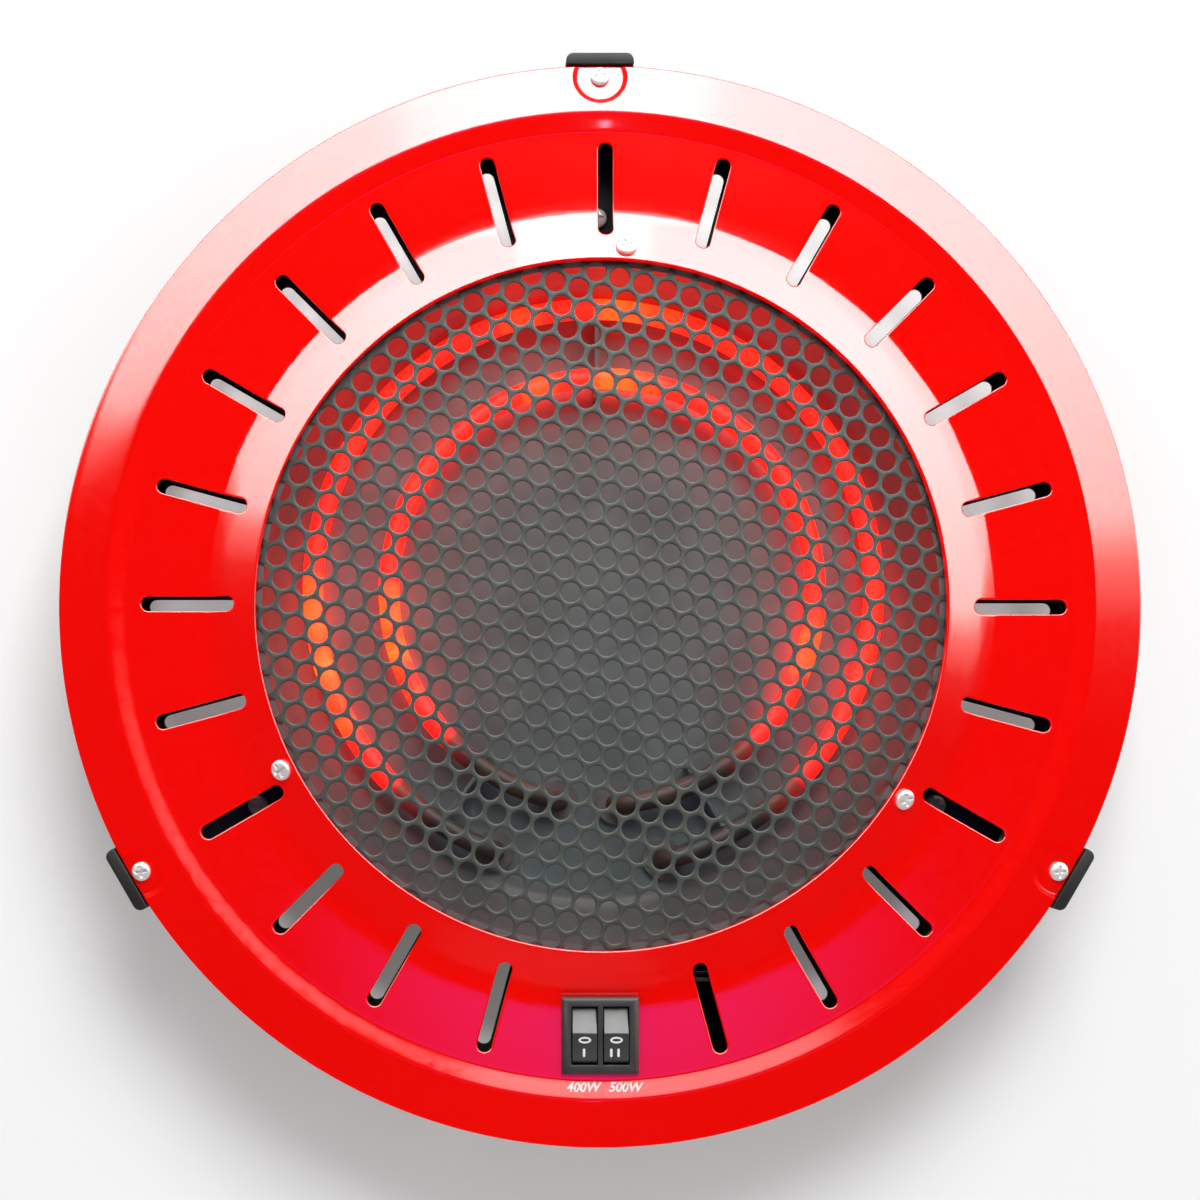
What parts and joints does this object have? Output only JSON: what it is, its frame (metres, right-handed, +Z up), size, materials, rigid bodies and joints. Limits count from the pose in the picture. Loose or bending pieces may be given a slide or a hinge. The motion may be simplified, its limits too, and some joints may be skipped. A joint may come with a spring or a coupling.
{
  "type": "electric brazier",
  "caption": "Round electric floor brazier: enamelled plate with air slots, perforated grille over sheathed heating rings, slotted pan, moulded legs and a twin rocker switch.",
  "frame": {"origin": "on the floor, on the axis of the round plate", "axes": "+Z up, -Y towards the switch, +X to the right of a person who faces the switch"},
  "size_m": [0.44, 0.445, 0.0959],
  "materials": {
    "red_enamel": "gloss enamel",
    "dark_grille": "satin",
    "bright_reflector": "bright",
    "black_steel": "satin black",
    "heating_sheath": "oxidised, hot",
    "black_plastic": "fine grain",
    "switch_rocker": "satin",
    "zinc_screw": "zinc plated",
    "ceramic": "unglazed",
    "brass_contact": "bright",
    "silicone_wire": "matte"
  },
  "bodies": {
    "base": {"top_plate": "red_enamel", "grille": "dark_grille", "reflector": "bright_reflector", "element_bracket_rear": "bright_reflector", "element_bracket_left": "bright_reflector", "element_bracket_right": "bright_reflector", "lower_pan": "black_steel", "strap_rear": "black_steel", "strap_left": "black_steel", "strap_right": "black_steel", "element_inner": "heating_sheath", "element_outer": "heating_sheath", "leg_rear": "black_plastic", "leg_left": "black_plastic", "leg_right": "black_plastic", "switch_housing": "black_plastic", "wiring_box": "black_plastic", "cable_gland": "black_plastic", "leg_screw_rear": "zinc_screw", "leg_screw_left": "zinc_screw", "leg_screw_right": "zinc_screw", "grille_screw_rear": "zinc_screw", "grille_screw_left": "zinc_screw", "grille_screw_right": "zinc_screw", "pan_bolt_rear": "zinc_screw", "pan_bolt_left": "zinc_screw", "pan_bolt_right": "zinc_screw", "strap_screw_rear": "zinc_screw", "strap_screw_left": "zinc_screw", "strap_screw_right": "zinc_screw", "box_screw_left": "zinc_screw", "box_screw_right": "zinc_screw", "earth_screw": "zinc_screw", "bushing_inner_left": "ceramic", "bushing_inner_right": "ceramic", "bushing_outer_left": "ceramic", "bushing_outer_right": "ceramic", "terminal_block": "ceramic", "thermal_cutout": "ceramic", "terminal_inner_left": "brass_contact", "terminal_inner_right": "brass_contact", "terminal_outer_left": "brass_contact", "terminal_outer_right": "brass_contact", "switch_tab_supply": "brass_contact", "switch_tab_left": "brass_contact", "switch_tab_right": "brass_contact", "wire_supply": "silicone_wire", "wire_left": "silicone_wire", "wire_right": "silicone_wire", "wire_neutral": "silicone_wire", "wire_earth": "silicone_wire", "wire_return_inner": "silicone_wire", "wire_return_outer": "silicone_wire"},
    "rocker_left": {"rocker_left": "switch_rocker"},
    "rocker_right": {"rocker_right": "switch_rocker"},
    "contact_left": {"contact_left": "brass_contact"},
    "contact_right": {"contact_right": "brass_contact"}
  },
  "joints": [
    {"name": "rocker_left_tilt", "type": "hinge", "parent": "base", "child": "rocker_left", "pos_m": [-0.0064, -0.174, 0.0839], "axis": [1, 0, 0], "range_deg": [0, 20]},
    {"name": "contact_left_tilt", "type": "hinge", "parent": "base", "child": "contact_left", "pos_m": [-0.0064, -0.174, 0.0709], "axis": [-1, 0, 0], "range_deg": [0, 9]},
    {"name": "rocker_right_tilt", "type": "hinge", "parent": "base", "child": "rocker_right", "pos_m": [0.0064, -0.174, 0.0839], "axis": [1, 0, 0], "range_deg": [0, 20]},
    {"name": "contact_right_tilt", "type": "hinge", "parent": "base", "child": "contact_right", "pos_m": [0.0064, -0.174, 0.0709], "axis": [-1, 0, 0], "range_deg": [0, 9]}
  ],
  "couplings": [
    {"joint": "contact_left_tilt", "follows": "rocker_left_tilt", "ratio": 0.45},
    {"joint": "contact_right_tilt", "follows": "rocker_right_tilt", "ratio": 0.45}
  ]
}
